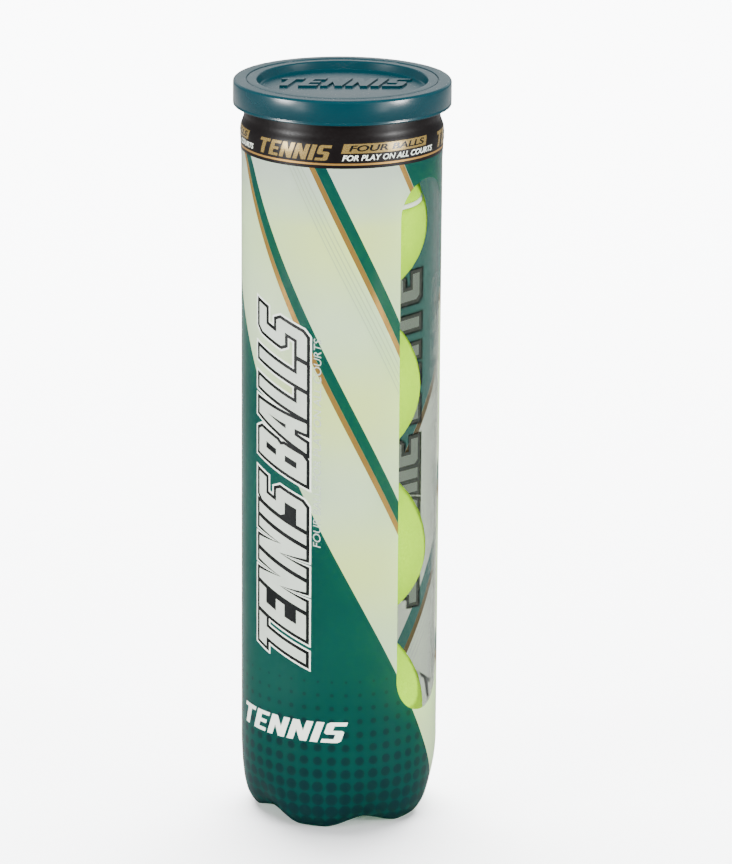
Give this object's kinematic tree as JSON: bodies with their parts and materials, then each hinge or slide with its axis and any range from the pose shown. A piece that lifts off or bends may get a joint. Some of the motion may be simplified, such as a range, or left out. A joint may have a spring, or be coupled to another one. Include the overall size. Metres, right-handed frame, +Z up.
{
  "type": "tennis ball can",
  "caption": "Clear pressurised can of stacked tennis balls, with petal feet, printed shrink sleeve, ring-pull metal end and push-fit overcap.",
  "frame": {"origin": "on the surface the can stands on, under the can's axis", "axes": "+Z up along the can's axis; -Y is the front"},
  "size_m": [0.0844, 0.0844, 0.296],
  "materials": {
    "clear_plastic": "clear, glossy",
    "sleeve_film": "printed shrink film, glossy",
    "aluminium": "satin",
    "sealing_compound": "matte",
    "cap_plastic": "glossy",
    "core_rubber": "matte",
    "felt": "napped felt",
    "seam_rubber": "matte"
  },
  "bodies": {
    "can": {"can_body": "clear_plastic", "shrink_sleeve": "sleeve_film", "end_seam_ring": "aluminium", "seam_sealant": "sealing_compound"},
    "overcap": {"overcap": "cap_plastic"},
    "end_panel": {"tear_panel": "aluminium", "tab_tongue": "aluminium"},
    "pull_tab": {"pull_tab": "aluminium"},
    "ball_1": {"ball_1_core_lower": "core_rubber", "ball_1_core_upper": "core_rubber", "ball_1_felt_a": "felt", "ball_1_felt_b": "felt", "ball_1_seam": "seam_rubber"},
    "ball_2": {"ball_2_core_lower": "core_rubber", "ball_2_core_upper": "core_rubber", "ball_2_felt_a": "felt", "ball_2_felt_b": "felt", "ball_2_seam": "seam_rubber"},
    "ball_3": {"ball_3_core_lower": "core_rubber", "ball_3_core_upper": "core_rubber", "ball_3_felt_a": "felt", "ball_3_felt_b": "felt", "ball_3_seam": "seam_rubber"},
    "ball_4": {"ball_4_core_lower": "core_rubber", "ball_4_core_upper": "core_rubber", "ball_4_felt_a": "felt", "ball_4_felt_b": "felt", "ball_4_seam": "seam_rubber"}
  },
  "joints": [
    {"name": "overcap_lift", "type": "slide", "parent": "can", "child": "overcap", "axis": [0, 0, 1], "range_m": [0, 0.39]},
    {"name": "panel_lift", "type": "slide", "parent": "can", "child": "end_panel", "axis": [0, 0, 1], "range_m": [0, 0.342]},
    {"name": "tab_lift", "type": "hinge", "parent": "end_panel", "child": "pull_tab", "pos_m": [0, 0.0327, 0.28955], "axis": [-1, 0, 0], "range_deg": [0, 90]},
    {"name": "ball_1_rise", "type": "slide", "parent": "can", "child": "ball_1", "axis": [0, 0, 1], "range_m": [0, 0.293]},
    {"name": "ball_2_rise", "type": "slide", "parent": "can", "child": "ball_2", "axis": [0, 0, 1], "range_m": [0, 0.293]},
    {"name": "ball_3_rise", "type": "slide", "parent": "can", "child": "ball_3", "axis": [0, 0, 1], "range_m": [0, 0.293]},
    {"name": "ball_4_rise", "type": "slide", "parent": "can", "child": "ball_4", "axis": [0, 0, 1], "range_m": [0, 0.293]}
  ],
  "couplings": [
    {"joint": "panel_lift", "follows": "overcap_lift", "ratio": 0.875},
    {"joint": "tab_lift", "follows": "overcap_lift", "rad_per_m": 4.02},
    {"joint": "ball_1_rise", "follows": "overcap_lift", "ratio": 0.75},
    {"joint": "ball_2_rise", "follows": "overcap_lift", "ratio": 0.75},
    {"joint": "ball_3_rise", "follows": "overcap_lift", "ratio": 0.75},
    {"joint": "ball_4_rise", "follows": "overcap_lift", "ratio": 0.75}
  ]
}
